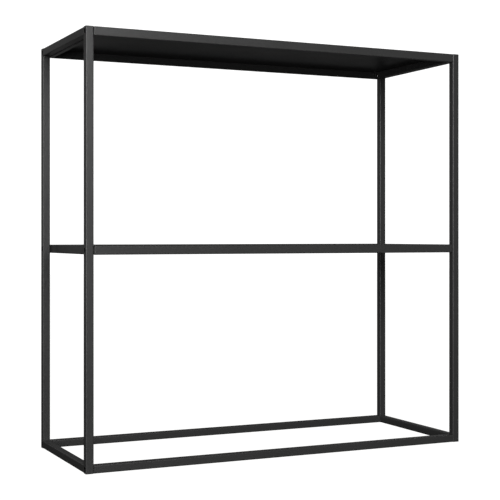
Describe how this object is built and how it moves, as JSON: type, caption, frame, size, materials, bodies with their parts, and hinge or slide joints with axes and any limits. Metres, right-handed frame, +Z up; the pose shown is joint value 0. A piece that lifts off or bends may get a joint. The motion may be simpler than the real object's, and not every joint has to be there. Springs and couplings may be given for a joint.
{
  "type": "gondola shelving unit",
  "caption": "Open black steel display frame on square-tube uprights with a folded sheet shelf at the top and one at mid height.",
  "frame": {"origin": "middle of the footprint, on the floor plane", "axes": "+Z up, +X to the right along the width, +Y to the rear along the depth, so the front faces -Y"},
  "size_m": [1.06, 0.4, 1.06],
  "materials": {
    "frame_steel": "black satin powder coat",
    "shelf_steel": "black satin powder coat",
    "end_plug_plastic": "black moulded plastic",
    "screw_steel": "black oxide",
    "nut_steel": "zinc plated",
    "washer_nylon": "black nylon",
    "rail_plug_steel": "zinc plated"
  },
  "bodies": {
    "root": {"left_front_upright": "frame_steel", "left_front_top_plug": "end_plug_plastic", "left_front_bottom_plug": "end_plug_plastic", "left_rear_upright": "frame_steel", "left_rear_top_plug": "end_plug_plastic", "left_rear_bottom_plug": "end_plug_plastic", "left_top_end_rail": "frame_steel", "left_bottom_end_rail": "frame_steel", "right_front_upright": "frame_steel", "right_front_top_plug": "end_plug_plastic", "right_front_bottom_plug": "end_plug_plastic", "right_rear_upright": "frame_steel", "right_rear_top_plug": "end_plug_plastic", "right_rear_bottom_plug": "end_plug_plastic", "right_top_end_rail": "frame_steel", "right_bottom_end_rail": "frame_steel", "front_bottom_rail": "frame_steel", "front_rail_left_plug": "rail_plug_steel", "front_rail_right_plug": "rail_plug_steel", "rear_bottom_rail": "frame_steel", "rear_rail_left_plug": "rail_plug_steel", "rear_rail_right_plug": "rail_plug_steel", "top_shelf": "shelf_steel", "top_shelf_screws": "screw_steel", "top_shelf_washers": "washer_nylon", "top_shelf_nuts": "nut_steel", "middle_shelf": "shelf_steel", "middle_shelf_screws": "screw_steel", "middle_shelf_washers": "washer_nylon", "middle_shelf_nuts": "nut_steel", "bottom_rail_screws": "screw_steel"}
  },
  "joints": []
}
